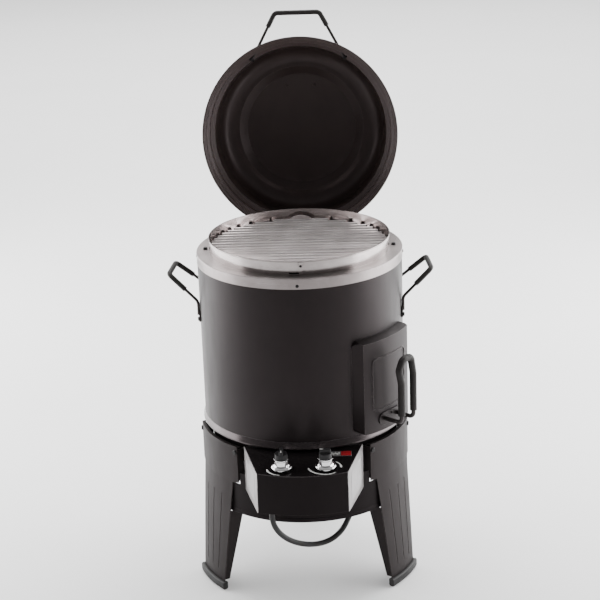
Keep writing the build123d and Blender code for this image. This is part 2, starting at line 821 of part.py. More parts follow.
# ---------------------------------------------------------------- chip drawer
def front_block(inset):
    """The solid that fills the drawer front's outside, or its hollow when inset."""
    back = SMOKER_HALF_BACK - degrees(inset / SHELL_R)
    face = SMOKER_HALF_FACE - degrees(inset / SHELL_R)
    face_r = SMOKER_FACE_R - inset
    back_r = SHELL_R + 0.4 - 2 * inset
    with BuildPart() as block:
        with BuildSketch(section_plane(SMOKER_AZ - 30)):
            Polygon(
                (back_r, SMOKER_LOW + inset),
                (face_r, SMOKER_LOW + inset),
                (face_r, SMOKER_TOP - 5 - inset),
                (back_r, SMOKER_TOP - inset),
                align=None,
            )
        revolve(axis=Axis.Z, revolution_arc=60)
        with BuildSketch(Plane.XY):
            Polygon(
                around(60, SMOKER_AZ - back, 0),
                around(SHELL_R, SMOKER_AZ - back, 0),
                around(face_r, SMOKER_AZ - face, 0),
                around(300, SMOKER_AZ - face, 0),
                around(300, SMOKER_AZ + face, 0),
                around(face_r, SMOKER_AZ + face, 0),
                around(SHELL_R, SMOKER_AZ + back, 0),
                around(60, SMOKER_AZ + back, 0),
                align=None,
            )
        extrude(amount=SMOKER_TOP + 20, mode=Mode.INTERSECT)
        with BuildSketch(face_plane(SMOKER_AZ)):
            with Locations((0, (SMOKER_LOW + SMOKER_TOP) / 2)):
                RectangleRounded(
                    2 * SHELL_R * sin(radians(SMOKER_HALF_BACK)) - 2 * inset,
                    SMOKER_TOP - SMOKER_LOW - 2 * inset,
                    16 - inset,
                )
        extrude(amount=SMOKER_FACE_R + 20, mode=Mode.INTERSECT)
    return block.part


HANDLE_LOW_Z = 407.0
HANDLE_LEFT = -23.5      # the loop handle's two rods, across the drawer front
HANDLE_RIGHT = 17.5
HANDLE_OUT = 290.0
HANDLE_ROD_R = 4.75
HANDLE_GRIP_R = 7.6

with BuildPart() as drawer_bead:
    with BuildSketch(section_plane(SMOKER_AZ - 20)):
        Polygon(
            (SMOKER_FACE_R - 0.5, 410),
            (SMOKER_FACE_R + 1.3, 410),
            (SMOKER_FACE_R + 1.3, 560),
            (SMOKER_FACE_R - 0.5, 560),
            align=None,
        )
    revolve(axis=Axis.Z, revolution_arc=40)
    with BuildSketch(face_plane(SMOKER_AZ)):
        with Locations((0, 489)):
            RectangleRounded(112, 118, 10)
            RectangleRounded(107, 113, 7.5, mode=Mode.SUBTRACT)
    extrude(amount=SMOKER_FACE_R + 20, mode=Mode.INTERSECT)

with BuildPart() as drawer_front:
    add(front_block(0))
    add(front_block(1.5), mode=Mode.SUBTRACT)
    add(drawer_bead.part)
    for across in (HANDLE_LEFT, HANDLE_RIGHT):
        with BuildSketch(face_plane(SMOKER_AZ, 230)):
            with Locations((across, HANDLE_LOW_Z)):
                Circle(HANDLE_ROD_R + 0.1)
        extrude(amount=30, mode=Mode.SUBTRACT)
keep(drawer_front, "drawer_front")

with BuildPart() as chip_box:
    box_middle = (CHIP_BOX_LOW + CHIP_BOX_TOP) / 2
    across_box(
        SMOKER_AZ, -CHIP_BOX_W / 2, CHIP_BOX_W / 2, CHIP_BOX_LOW, CHIP_BOX_TOP, 192.5, 237.8
    )
    with BuildSketch(face_plane(SMOKER_AZ, 192.5 + SHEET)):
        with Locations((0, box_middle + 10)):
            Rectangle(CHIP_BOX_W - 2 * SHEET, CHIP_BOX_TOP - CHIP_BOX_LOW + 20 - 2 * SHEET)
    extrude(amount=237.8 - 192.5 - 2 * SHEET, mode=Mode.SUBTRACT)
    with BuildSketch(face_plane(SMOKER_AZ, 190)):
        with Locations((0, box_middle)):
            with GridLocations(16, 16, 5, 7):
                Circle(2.5)
    extrude(amount=5, mode=Mode.SUBTRACT)
keep(chip_box, "chip_box")

with BuildPart() as drawer_guide:
    guide_w = CHIP_BOX_W + 2.4
    guide_h = CHIP_BOX_TOP - CHIP_BOX_LOW + 2.4
    with BuildSketch(face_plane(SMOKER_AZ, 190.2)):
        with Locations((0, box_middle)):
            Rectangle(guide_w + 1.6, guide_h + 1.6)
            Rectangle(guide_w, guide_h, mode=Mode.SUBTRACT)
    extrude(amount=24)
keep(drawer_guide, "drawer_guide")

with BuildPart() as handle_plate:
    with BuildSketch(section_plane(SMOKER_AZ - 20)):
        Polygon(
            (SMOKER_FACE_R, 380),
            (SMOKER_FACE_R + 2.5, 380),
            (SMOKER_FACE_R + 2.5, 440),
            (SMOKER_FACE_R, 440),
            align=None,
        )
    revolve(axis=Axis.Z, revolution_arc=40)
    with BuildSketch(face_plane(SMOKER_AZ)):
        with Locations(((HANDLE_LEFT + HANDLE_RIGHT) / 2, HANDLE_LOW_Z)):
            SlotOverall(74, 28)
        for across in (HANDLE_LEFT, HANDLE_RIGHT):
            with Locations((across, HANDLE_LOW_Z)):
                Circle(HANDLE_ROD_R + 0.1, mode=Mode.SUBTRACT)
    extrude(amount=SMOKER_FACE_R + 20, mode=Mode.INTERSECT)
    with BuildSketch(face_plane(SMOKER_AZ, SMOKER_FACE_R + 1)):
        with Locations(((HANDLE_LEFT + HANDLE_RIGHT) / 2 + 2, HANDLE_LOW_Z + 6)):
            Circle(4)
    extrude(amount=4, taper=15)
keep(handle_plate, "handle_plate")

with BuildPart() as drawer_handle:
    with BuildLine() as handle_line:
        FilletPolyline(
            on_face(SMOKER_AZ, HANDLE_LEFT, HANDLE_LOW_Z, 240.8),
            on_face(SMOKER_AZ, HANDLE_LEFT, HANDLE_LOW_Z, HANDLE_OUT),
            on_face(SMOKER_AZ, HANDLE_LEFT, 497, HANDLE_OUT),
            on_face(SMOKER_AZ, HANDLE_LEFT - 8, 528, HANDLE_OUT),
            on_face(SMOKER_AZ, HANDLE_LEFT + 5, 549, HANDLE_OUT),
            on_face(SMOKER_AZ, HANDLE_RIGHT - 8, 548, HANDLE_OUT),
            on_face(SMOKER_AZ, HANDLE_RIGHT, 508, HANDLE_OUT),
            on_face(SMOKER_AZ, HANDLE_RIGHT, HANDLE_LOW_Z, HANDLE_OUT),
            on_face(SMOKER_AZ, HANDLE_RIGHT, HANDLE_LOW_Z, 241.6),
            radius=[11, 16, 12, 11, 12, 22, 11],
        )
    sweep_circle(handle_line.wires()[0], HANDLE_ROD_R)
keep(drawer_handle, "drawer_handle")

with BuildPart() as drawer_grip:
    with BuildLine() as grip_line:
        FilletPolyline(
            on_face(SMOKER_AZ, HANDLE_LEFT, 424, HANDLE_OUT),
            on_face(SMOKER_AZ, HANDLE_LEFT, 497, HANDLE_OUT),
            on_face(SMOKER_AZ, HANDLE_LEFT - 8, 528, HANDLE_OUT),
            on_face(SMOKER_AZ, HANDLE_LEFT + 5, 549, HANDLE_OUT),
            on_face(SMOKER_AZ, HANDLE_RIGHT - 8, 548, HANDLE_OUT),
            on_face(SMOKER_AZ, HANDLE_RIGHT, 508, HANDLE_OUT),
            on_face(SMOKER_AZ, HANDLE_RIGHT, 424, HANDLE_OUT),
            radius=[16, 12, 11, 12, 22],
        )
    sweep_circle(grip_line.wires()[0], HANDLE_GRIP_R, HANDLE_ROD_R + 0.05)
keep(drawer_grip, "drawer_grip")

# ---------------------------------------------------------------- side handles
SIDE_FOOT_TURN = 15.2
SIDE_ROD_SHELL = SHELL_R + 0.3 + ROD_R
SIDE_BAR_HALF = 42.0
SIDE_BAR_Z = 690.0
SIDE_BAR_R = 282.0


def make_side_handle(middle):
    """A wire handle up the drum's side, and its grip."""
    first = middle - SIDE_FOOT_TURN
    last = middle + SIDE_FOOT_TURN
    bar_start = on_face(middle, -SIDE_BAR_HALF, SIDE_BAR_Z, SIDE_BAR_R)
    bar_end = on_face(middle, SIDE_BAR_HALF, SIDE_BAR_Z, SIDE_BAR_R)
    with BuildPart() as rod:
        with BuildLine() as rod_line:
            FilletPolyline(
                around(SIDE_ROD_SHELL, first, 604),
                around(SIDE_ROD_SHELL, first, 634),
                bar_start,
                bar_end,
                around(SIDE_ROD_SHELL, last, 634),
                around(SIDE_ROD_SHELL, last, 604),
                radius=[16, 12, 12, 16],
            )
        sweep_circle(rod_line.wires()[0], ROD_R)
        for azimuth in (first, last):
            with BuildSketch(face_plane(azimuth, SHELL_R + 0.3, 600)):
                SlotOverall(26, 13, rotation=90)
            extrude(amount=3)
    low_start = bar_start + (around(SIDE_ROD_SHELL, first, 634) - bar_start) * 0.56
    low_end = bar_end + (around(SIDE_ROD_SHELL, last, 634) - bar_end) * 0.56
    with BuildPart() as grip:
        with BuildLine() as grip_path:
            FilletPolyline(low_start, bar_start, bar_end, low_end, radius=[12, 12])
        sweep_circle(grip_path.wires()[0], GRIP_R, ROD_R + 0.05)
    return rod, grip


SIDE_AZIMUTHS = {"left": -95.0, "right": 95.0}
for word, middle in SIDE_AZIMUTHS.items():
    rod, grip = make_side_handle(middle)
    keep(rod, f"side_handle_{word}")
    keep(grip, f"side_grip_{word}")

with BuildPart() as side_bolts:
    for middle in SIDE_AZIMUTHS.values():
        for azimuth in (middle - SIDE_FOOT_TURN, middle + SIDE_FOOT_TURN):
            with BuildSketch(face_plane(azimuth, SHELL_R + 3.3, 594)):
                Circle(5)
            extrude(amount=3, taper=25)
keep(side_bolts, "side_bolts")

# ---------------------------------------------------------------- lid, drawn closed and turned open
LID_BASE = RIM_Z + LID_GAP
HINGE_AXIS = Axis((0, HINGE_Y, HINGE_Z), (1, 0, 0))
LEDGE_Z = 166.0          # above the lid's edge, the ledge inside its shoulder
LEDGE_OUT = 160.0
LEDGE_IN = 150.0
DOME_HALF = 131.0        # the lid's shallow top, inside its sloped band
DOME_RISE = 5.0
DOME_R = (DOME_HALF**2 + DOME_RISE**2) / (2 * DOME_RISE)
DOME_FLAT = 12.0         # radius of the flat spot at the dome's middle
LID_HANDLE_Z = LID_BASE + 45
LID_HANDLE_REACH = 280.0
LID_HANDLE_HALF = 51.5
LID_HANDLE_TIP_X = 109.5
LID_HANDLE_TIP_Y = 171.0
STUD_X = 33.0
STUD_Y = -103.0


def keep_open(builder, name):
    """Turn a piece of the closed lid to its open rest place, then label and write it."""
    piece = builder.part.rotate(HINGE_AXIS, -LID_OPEN)
    piece.label = name
    export_step(piece, f"parts/{name}.step")


def lid_solid(inset):
    """The lid's outside filled solid, or its hollow when inset by the sheet's thickness."""
    edge_z = LID_BASE + LID_DEPTH - DOME_RISE - inset
    with BuildPart() as solid:
        with BuildSketch(Plane.XZ):
            with BuildLine():
                wall = Polyline(
                    (0, LID_BASE - inset),
                    (LID_R - inset, LID_BASE - inset),
                    (LID_R - inset, LID_BASE + 10),
                    (221 - inset, LID_BASE + 14),
                    (221 - inset, LID_BASE + 26),
                    (213.5 - inset, LID_BASE + 31),
                    (213.5 - inset, LID_BASE + 60),
                    (203.5 - inset, LID_BASE + 66),
                    (200.5 - inset, LID_BASE + 125),
                )
                shoulder = ThreePointArc(
                    wall @ 1,
                    (189.5 - 0.7 * inset, LID_BASE + 152.5 - 0.7 * inset),
                    (LEDGE_OUT, LID_BASE + LEDGE_Z - inset),
                )
                ledge = Line(shoulder @ 1, (LEDGE_IN, LID_BASE + LEDGE_Z - inset))
                step = Line(ledge @ 1, (DOME_HALF, edge_z))
                half_drop = DOME_R - sqrt(DOME_R**2 - (DOME_HALF / 2) ** 2)
                flat_drop = DOME_R - sqrt(DOME_R**2 - DOME_FLAT**2)
                top = ThreePointArc(
                    step @ 1,
                    (DOME_HALF / 2, edge_z + DOME_RISE - half_drop),
                    (DOME_FLAT, edge_z + DOME_RISE - flat_drop),
                )
                flat = Line(top @ 1, (0, edge_z + DOME_RISE - flat_drop))
                Line(flat @ 1, wall @ 0)
            make_face()
        revolve(axis=Axis.Z)
    return solid.part


with BuildPart() as lid_shell:
    add(lid_solid(0))
    add(lid_solid(LID_SHEET), mode=Mode.SUBTRACT)
    with BuildSketch(Plane.XZ) as hem:
        with Locations((LID_R - 1.9, LID_BASE + 1.9)):
            Circle(1.9)
    revolve(axis=Axis.Z)
    for side in (-1, 1):
        with BuildSketch(Plane.XY.offset(LID_BASE + 150)):
            with Locations((side * STUD_X, STUD_Y)):
                Circle(2.6)
        extrude(amount=60, mode=Mode.SUBTRACT)
        leg_start = Vector(side * LID_HANDLE_HALF, -LID_HANDLE_REACH, LID_HANDLE_Z)
        leg_end = Vector(side * LID_HANDLE_TIP_X, -LID_HANDLE_TIP_Y, LID_HANDLE_Z)
        with BuildSketch(Plane(origin=leg_start, z_dir=leg_end - leg_start)):
            Circle(ROD_R + 0.1)
        extrude(amount=(leg_end - leg_start).length + 10, mode=Mode.SUBTRACT)
keep_open(lid_shell, "lid_shell")

with BuildPart() as lid_handle:
    with BuildLine() as lid_handle_line:
        FilletPolyline(
            (-LID_HANDLE_TIP_X, -LID_HANDLE_TIP_Y, LID_HANDLE_Z),
            (-LID_HANDLE_HALF, -LID_HANDLE_REACH, LID_HANDLE_Z),
            (LID_HANDLE_HALF, -LID_HANDLE_REACH, LID_HANDLE_Z),
            (LID_HANDLE_TIP_X, -LID_HANDLE_TIP_Y, LID_HANDLE_Z),
            radius=[12, 12],
        )
    sweep_circle(lid_handle_line.wires()[0], ROD_R)
keep_open(lid_handle, "lid_handle")

with BuildPart() as lid_grip:
    share = 0.29
    end_x = LID_HANDLE_HALF + share * (LID_HANDLE_TIP_X - LID_HANDLE_HALF)
    end_y = -LID_HANDLE_REACH + share * (LID_HANDLE_REACH - LID_HANDLE_TIP_Y)
    with BuildLine() as lid_grip_line:
        FilletPolyline(
            (-end_x, end_y, LID_HANDLE_Z),
            (-LID_HANDLE_HALF, -LID_HANDLE_REACH, LID_HANDLE_Z),
            (LID_HANDLE_HALF, -LID_HANDLE_REACH, LID_HANDLE_Z),
            (end_x, end_y, LID_HANDLE_Z),
            radius=[12, 12],
        )
    sweep_circle(lid_grip_line.wires()[0], GRIP_R, ROD_R + 0.08)
keep_open(lid_grip, "lid_grip")

with BuildPart() as lid_badge:
    with BuildSketch(Plane.XY.offset(LID_BASE + 182.4)):
        with Locations((0, STUD_Y)):
            RectangleRounded(92, 26, 5)
    extrude(amount=1.6)
    for side in (-1, 1):
        with Locations((side * STUD_X, STUD_Y, LID_BASE + 177.1)):
            Cylinder(2.5, 6, align=(Align.CENTER, Align.CENTER, Align.MIN))
            Cylinder(4, 1.6, align=(Align.CENTER, Align.CENTER, Align.MIN))
keep_open(lid_badge, "lid_badge")

# ---------------------------------------------------------------- lid hinge
ARM_HALF = 28.0
ARM_FACE_Y = 217.0
with BuildPart() as hinge_arm:
    with BuildSketch(Plane.YZ.offset(-ARM_HALF)):
        Polygon(
            (HINGE_Y - 5.5, HINGE_Z),
            (HINGE_Y - 2.5, HINGE_Z),
            (HINGE_Y - 2.5, LID_BASE + 14),
            (HINGE_Y - 10.5, LID_BASE + 27.5),
            (ARM_FACE_Y, LID_BASE + 33),
            (ARM_FACE_Y, LID_BASE + 58),
            (213.8, LID_BASE + 58),
            (213.8, LID_BASE + 31.5),
            (HINGE_Y - 13.2, LID_BASE + 26.5),
            (HINGE_Y - 5.5, LID_BASE + 12.5),
            align=None,
        )
        with Locations((HINGE_Y, HINGE_Z)):
            Circle(8)
            Circle(PIN_R + RUN_FIT, mode=Mode.SUBTRACT)
    extrude(amount=2 * ARM_HALF)
    with BuildSketch(Plane.XY.offset(LID_BASE + 16)):
        Circle(213.8)
    extrude(amount=60, mode=Mode.SUBTRACT)
keep_open(hinge_arm, "hinge_arm")

with BuildPart() as lid_fasteners:
    for side in (-1, 1):
        tip = Vector(side * LID_HANDLE_TIP_X, -LID_HANDLE_TIP_Y, LID_HANDLE_Z)
        along = (tip - Vector(side * LID_HANDLE_HALF, -LID_HANDLE_REACH, LID_HANDLE_Z)).normalized()
        with BuildSketch(Plane(origin=tip - along * 6, z_dir=along)):
            RegularPolygon(6, 6)
            Circle(ROD_R + 0.05, mode=Mode.SUBTRACT)
        extrude(amount=5)
    with BuildSketch(Plane.XZ.offset(-ARM_FACE_Y)):
        with Locations((0, LID_BASE + 46)):
            with GridLocations(36, 12, 2, 2):
                Circle(4)
    extrude(amount=-2.5, taper=20)
keep_open(lid_fasteners, "lid_fasteners")

BRACKET_FACE_Y = 226.0
BRACKET_MIDDLE = 678.0
with BuildPart() as hinge_bracket:
    with BuildSketch(Plane.YZ.offset(-38)):
        with Locations((BRACKET_FACE_Y - 10, BRACKET_MIDDLE)):
            Rectangle(20, 76)
    extrude(amount=76)
    for x in (-35, 30.5):
        with BuildSketch(Plane.YZ.offset(x)):
            Polygon((205, 664), (236, 664), (236, 704), (205, 704), align=None)
            with Locations((HINGE_Y, HINGE_Z)):
                Circle(9)
        extrude(amount=4.5)
    with BuildSketch(Plane.YZ.offset(-26)):
        Polygon((205, 645), (244, 645), (257, 664), (257, 683.2), (205, 683.2), align=None)
    extrude(amount=52)
    with BuildSketch(Plane.YZ.offset(-30)):
        with Locations((HINGE_Y, HINGE_Z)):
            Circle(9.2)
    extrude(amount=60, mode=Mode.SUBTRACT)
    with BuildSketch(Plane.YZ.offset(-40)):
        with Locations((HINGE_Y, HINGE_Z)):
            Circle(PIN_R + 0.02)
    extrude(amount=80, mode=Mode.SUBTRACT)
    with BuildSketch(Plane.XY.offset(600)):
        Circle(SHELL_R + 0.05)
    extrude(amount=200, mode=Mode.SUBTRACT)
keep(hinge_bracket, "hinge_bracket")

with BuildPart() as hinge_pin:
    with BuildSketch(Plane.YZ.offset(-38)):
        with Locations((HINGE_Y, HINGE_Z)):
            Circle(PIN_R)
    extrude(amount=76)
    for x in (-39.5, 36.5):
        with BuildSketch(Plane.YZ.offset(x)):
            with Locations((HINGE_Y, HINGE_Z)):
                Circle(6.5)
        extrude(amount=3)
keep(hinge_pin, "hinge_pin")

with BuildPart() as frame_bolts:
    for azimuth in LEG_BOLT_AZIMUTHS:
        with BuildSketch(face_plane(azimuth, BASE_R - 8, LEG_BOLT_Z)):
            Circle(3)
        extrude(amount=LEG_R - BASE_R + 8.2)
        with BuildSketch(face_plane(azimuth, LEG_R + 0.1, LEG_BOLT_Z)):
            Circle(6)
        extrude(amount=3, taper=30)
        with BuildSketch(face_plane(azimuth, BASE_R - 7, LEG_BOLT_Z)):
            RegularPolygon(5.5, 6)
        extrude(amount=5)
    with BuildSketch(Plane.XZ.offset(-BRACKET_FACE_Y)):
        with Locations((0, BRACKET_MIDDLE)):
            with GridLocations(65, 61, 2, 2):
                Circle(4.2)
    extrude(amount=-3, taper=20)
keep(frame_bolts, "frame_bolts")

# ---------------------------------------------------------------- gas hose and regulator
with BuildPart() as gas_inlet:
    with BuildLine() as inlet_line:
        FilletPolyline(
            (GAS_X - VALVE_W / 2 - 0.1, INLET_Y, 318),
            (INLET_X, INLET_Y, 318),
            (INLET_X, INLET_Y, CRIMP_LOW + 10),
            radius=6,
        )
    sweep_circle(inlet_line.wires()[0], 5)
    with Locations((INLET_X, INLET_Y, CRIMP_LOW)):
        Cylinder(8.3, 20, align=(Align.CENTER, Align.CENTER, Align.MIN))
keep(gas_inlet, "gas_inlet")

HOSE_ROUTE = [
    Vector(INLET_X, INLET_Y, CRIMP_LOW),
    Vector(INLET_X, INLET_Y, 232),
    Vector(-65, -278.5, 213.5),
    Vector(-58, -272.5, 196),
    Vector(-46.5, -264, 178),
    Vector(-29, -254, 161),
    Vector(-6.5, -243, 148),
    Vector(18, -232.5, 141),
    Vector(41, -222.5, 140.5),
    Vector(61.5, -213.5, 147),
    Vector(78.5, -205, 160.5),
    Vector(90, -197, 179),
    Vector(100.5, -187.5, 200),
    Vector(113.5, -174.5, 218),
    Vector(130.5, -158, 232),
    Vector(150.5, -138, 240),
    Vector(169, -114.5, 241),
    Vector(184, -89, 237),
    Vector(192, -63, 231.5),
    Vector(192.5, -37, 231.5),
]


def route_radii(route):
    """The radius at each inner point: 0.45 of its shorter run over tan(half the turn)."""
    radii = []
    for before, here, after in zip(route, route[1:], route[2:]):
        turn = (here - before).get_angle(after - here)
        shorter = min((here - before).length, (after - here).length)
        radii.append(0.45 * shorter / tan(radians(turn) / 2))
    return radii


with BuildPart() as gas_hose:
    hose_radii = route_radii(HOSE_ROUTE)
    with BuildLine() as hose_line:
        FilletPolyline(*HOSE_ROUTE, radius=hose_radii)
    sweep_circle(hose_line.wires()[0], HOSE_R)
keep(gas_hose, "gas_hose")
hose_length = hose_line.wires()[0].length
print("hose radii", [round(radius) for radius in hose_radii])
print("hose length", round(hose_length, 1))
print("hose volume over section times length", gas_hose.part.volume / (pi * HOSE_R**2 * hose_length))

CLIP_RUNS = (14, 16)     # the runs of the hose that a clip holds, counted from its start
with BuildPart() as hose_clips:
    for number in CLIP_RUNS:
        start, end = HOSE_ROUTE[number : number + 2]
        spot = (start + end) / 2
        run = end - start
        out = Vector(spot.X, spot.Y, 0).normalized()
        side = run.cross(out).normalized() * -1
        plane = Plane(origin=spot - run.normalized() * 4, x_dir=run.cross(side) * -1, z_dir=run)
        with BuildSketch(plane):
            Circle(7.8)
            with Locations((13, 0)):
                Rectangle(13, 6)
            Circle(6.3, mode=Mode.SUBTRACT)
        extrude(amount=8)
    with BuildSketch(Plane.XY.offset(200)):
        Circle(HOOP_R - 1.55)
    extrude(amount=60, mode=Mode.INTERSECT)
keep(hose_clips, "hose_clips")

REGULATOR_R = 28.0
OUTLET_LENGTH = 46.0     # from the regulator's middle to the end of the hose
OUTLET_DIR = (HOSE_ROUTE[-1] - HOSE_ROUTE[-2]).normalized()
REGULATOR = HOSE_ROUTE[-1] + OUTLET_DIR * OUTLET_LENGTH
REGULATOR_LOW = REGULATOR.Z - 13
INLET_DIR = Vector(-0.25, 0.968, 0).normalized()
with BuildPart() as regulator:
    with Locations((REGULATOR.X, REGULATOR.Y, REGULATOR_LOW)):
        Cylinder(REGULATOR_R, 14, align=(Align.CENTER, Align.CENTER, Align.MIN))
        Cylinder(REGULATOR_R - 6, 22, align=(Align.CENTER, Align.CENTER, Align.MIN))
        Cylinder(10, 27, align=(Align.CENTER, Align.CENTER, Align.MIN))
    with BuildSketch(Plane(origin=HOSE_ROUTE[-1], z_dir=OUTLET_DIR)):
        Circle(7.5)
    extrude(amount=OUTLET_LENGTH - 15)
    with BuildSketch(Plane(origin=REGULATOR + INLET_DIR * 15, z_dir=INLET_DIR)):
        Circle(6)
    extrude(amount=50)
    with BuildSketch(Plane(origin=REGULATOR + INLET_DIR * 63, z_dir=INLET_DIR)):
        Circle(9)
    extrude(amount=3)
    fillet(regulator.edges().filter_by(GeomType.CIRCLE).group_by(Axis.Z)[0], 3)
keep(regulator, "regulator")

with BuildPart() as coupling_nut:
    nut_plane = Plane(origin=REGULATOR + INLET_DIR * 36, z_dir=INLET_DIR)
    with BuildSketch(nut_plane):
        Circle(17)
        with PolarLocations(17, 12):
            Circle(1.6, mode=Mode.SUBTRACT)
        Circle(6 + RUN_FIT, mode=Mode.SUBTRACT)
    extrude(amount=26)
keep(coupling_nut, "coupling_nut")

with BuildPart() as regulator_shelf:
    regulator_az = 90 + degrees(REGULATOR.Y / REGULATOR.X)
    half_turn = 5.5
    shelf_z = REGULATOR_LOW - 0.2
    shelf_sheet = 2.0
    with BuildSketch(section_plane(regulator_az - half_turn)):
        Polygon(
            (163, shelf_z - shelf_sheet),
            (HOOP_R - 1.6, shelf_z - shelf_sheet),
            (HOOP_R - 1.6, shelf_z + 34),
            (HOOP_R - 1.6 - shelf_sheet, shelf_z + 34),
            (HOOP_R - 1.6 - shelf_sheet, shelf_z),
            (165, shelf_z),
            (165, shelf_z + 7),
            (163, shelf_z + 7),
            align=None,
        )
    revolve(axis=Axis.Z, revolution_arc=2 * half_turn)
keep(regulator_shelf, "regulator_shelf")
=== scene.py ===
"""Looks of the round gas smoker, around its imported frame. Metres, +Z up, -Y is the front."""

import json
from math import cos, pi, radians, sin

import bpy
from mathutils import Matrix, Vector


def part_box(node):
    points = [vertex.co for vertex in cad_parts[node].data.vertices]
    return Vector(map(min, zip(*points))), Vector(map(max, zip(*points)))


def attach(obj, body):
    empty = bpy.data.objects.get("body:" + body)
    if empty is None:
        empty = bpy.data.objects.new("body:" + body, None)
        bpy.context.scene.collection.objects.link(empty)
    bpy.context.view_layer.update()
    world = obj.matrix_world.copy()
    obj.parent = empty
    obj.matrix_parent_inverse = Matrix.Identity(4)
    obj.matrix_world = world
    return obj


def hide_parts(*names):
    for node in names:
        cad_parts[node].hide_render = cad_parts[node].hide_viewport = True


MM = 0.001

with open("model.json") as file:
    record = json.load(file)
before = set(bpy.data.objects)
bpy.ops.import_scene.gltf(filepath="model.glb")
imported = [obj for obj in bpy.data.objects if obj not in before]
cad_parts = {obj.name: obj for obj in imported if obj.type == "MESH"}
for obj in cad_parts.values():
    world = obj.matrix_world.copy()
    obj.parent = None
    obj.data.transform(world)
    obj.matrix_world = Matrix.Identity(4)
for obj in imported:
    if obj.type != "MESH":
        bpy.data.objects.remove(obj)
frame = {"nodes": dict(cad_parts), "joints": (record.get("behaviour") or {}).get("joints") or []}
nodes = frame["nodes"]
joints = {joint["name"]: joint for joint in frame["joints"]}
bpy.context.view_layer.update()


# ---------------------------------------------------------------- camera
CAMERA_PLACE = Vector((0.1083, -3.3095, 1.7726))
CAMERA_HEADING = radians(1.916)
CAMERA_DIP = radians(19.227)
CAMERA_ROLL = radians(2.004)


def place_camera():
    forward = Vector(
        (
            -sin(CAMERA_HEADING) * cos(CAMERA_DIP),
            cos(CAMERA_HEADING) * cos(CAMERA_DIP),
            -sin(CAMERA_DIP),
        )
    )
    level = Vector((cos(CAMERA_HEADING), sin(CAMERA_HEADING), 0))
    over = level.cross(forward)
    right = level * cos(CAMERA_ROLL) - over * sin(CAMERA_ROLL)
    up = level * sin(CAMERA_ROLL) + over * cos(CAMERA_ROLL)
    data = bpy.data.cameras.new("camera")
    data.lens = 96
    data.sensor_width = 36
    camera = bpy.data.objects.new("camera", data)
    turn = Matrix((right, up, -forward)).transposed().to_4x4()
    camera.matrix_world = Matrix.Translation(CAMERA_PLACE) @ turn
    bpy.context.scene.collection.objects.link(camera)
    bpy.context.scene.camera = camera


place_camera()


# ---------------------------------------------------------------- material building
def start_material(name, **values):
    """A node material whose shader sockets are set by name, with underscores for spaces."""
    material = bpy.data.materials.new(name)
    material.use_nodes = True
    shader = material.node_tree.nodes["Principled BSDF"]
    for socket, value in values.items():
        shader.inputs[socket.replace("_", " ")].default_value = value
    return material, material.node_tree, shader


def add_node(tree, kind, inputs=(), **settings):
    """A node with its settings, and with its inputs set to a value or linked to a socket."""
    node = tree.nodes.new(kind)
    for key, value in settings.items():
        setattr(node, key, value)
    for key, value in dict(inputs).items():
        if isinstance(value, bpy.types.NodeSocket):
            tree.links.new(value, node.inputs[key])
        else:
            node.inputs[key].default_value = value
    return node


def place(tree, stretch=(1, 1, 1)):
    """The object's own coordinates in metres, stretched along its axes."""
    coordinates = add_node(tree, "ShaderNodeTexCoord").outputs["Object"]
    if stretch == (1, 1, 1):
        return coordinates
    return add_node(
        tree, "ShaderNodeVectorMath", {0: coordinates, 1: stretch}, operation="MULTIPLY"
    ).outputs[0]


def round_place(tree, radial, along, upright):
    """Coordinates round the drum's axis: radius, angle and height, each with its own scale."""
    parts = add_node(tree, "ShaderNodeSeparateXYZ", {0: place(tree)})
    x, y, z = (parts.outputs[axis] for axis in "XYZ")
    angle = add_node(tree, "ShaderNodeMath", {0: y, 1: x}, operation="ARCTAN2").outputs[0]
    flat = add_node(tree, "ShaderNodeCombineXYZ", {0: x, 1: y}).outputs[0]
    radius = add_node(tree, "ShaderNodeVectorMath", {0: flat}, operation="LENGTH").outputs["Value"]
    joined = add_node(tree, "ShaderNodeCombineXYZ", {0: radius, 1: angle, 2: z}).outputs[0]
    scale = (radial, along, upright)
    return add_node(
        tree, "ShaderNodeVectorMath", {0: joined, 1: scale}, operation="MULTIPLY"
    ).outputs[0]


def noise(tree, vector, scale, detail=3.0, roughness=0.5):
    values = {"Vector": vector, "Scale": scale, "Detail": detail, "Roughness": roughness}
    return add_node(tree, "ShaderNodeTexNoise", values).outputs["Fac"]


def spread(tree, value, low, high, start=0.3, end=0.7):
    """The value's start..end range stretched to low..high."""
    values = {"Value": value, 1: start, 2: end, 3: low, 4: high}
    return add_node(tree, "ShaderNodeMapRange", values).outputs[0]


def blend_colours(tree, factor, first, second):
    node = add_node(tree, "ShaderNodeMix", data_type="RGBA")
    tree.links.new(factor, node.inputs[0])
    for socket, colour in ((node.inputs[6], first), (node.inputs[7], second)):
        if isinstance(colour, bpy.types.NodeSocket):
            tree.links.new(colour, socket)
        else:
            socket.default_value = (*colour, 1)
    return node.outputs[2]


def soft_edges(tree, radius):
    """A normal that rounds the sharp edges of sheet metal and mouldings."""
    return add_node(tree, "ShaderNodeBevel", {"Radius": radius}, samples=4).outputs[0]


def bump(tree, height, strength, distance, normal):
    values = {"Height": height, "Strength": strength, "Distance": distance, "Normal": normal}
    return add_node(tree, "ShaderNodeBump", values).outputs[0]


def edge_wear_and_highlight_mask(tree, radius):
    """1 along outer edges and 0 on flat faces, where paint wears thin and where a painted highlight lights
    the edges.
    """
    bevel = add_node(tree, "ShaderNodeBevel", {"Radius": radius}, samples=4).outputs[0]
    normal = add_node(tree, "ShaderNodeNewGeometry").outputs["Normal"]
    dot = add_node(
        tree, "ShaderNodeVectorMath", {0: bevel, 1: normal}, operation="DOT_PRODUCT"
    ).outputs["Value"]
    return spread(tree, dot, 1, 0, 0.8, 0.99)


